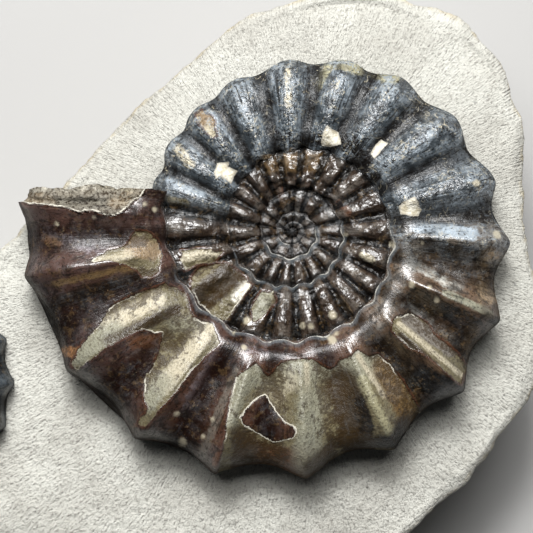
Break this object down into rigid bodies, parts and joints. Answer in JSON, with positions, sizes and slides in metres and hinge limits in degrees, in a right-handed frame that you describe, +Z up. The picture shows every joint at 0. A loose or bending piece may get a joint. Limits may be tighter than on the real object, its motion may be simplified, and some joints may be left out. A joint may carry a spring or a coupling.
{
  "type": "fossil ammonite",
  "caption": "Ribbed, open-coiled fossil ammonite with a smaller one beside it, both set in the top of a loose block of pale limestone that rests flat.",
  "frame": {"origin": "on the flat resting face, under the middle of the whole part's box", "axes": "+Z up, along both coil axes; +X along the block's long side, towards the large ammonite; +Y across it"},
  "size_m": [0.1116, 0.0905, 0.0387],
  "materials": {
    "fossil_shell": "polished and lacquered dark brown to blue-black fossil shell, worn through to olive and cream infill",
    "small_fossil_shell": "polished dark brown to grey-blue fossil shell",
    "pale_limestone": "matt off-white limestone, covered in short strokes of an air pen"
  },
  "bodies": {
    "root": {"ammonite": "fossil_shell", "small_ammonite": "small_fossil_shell", "limestone_block": "pale_limestone"}
  },
  "joints": []
}
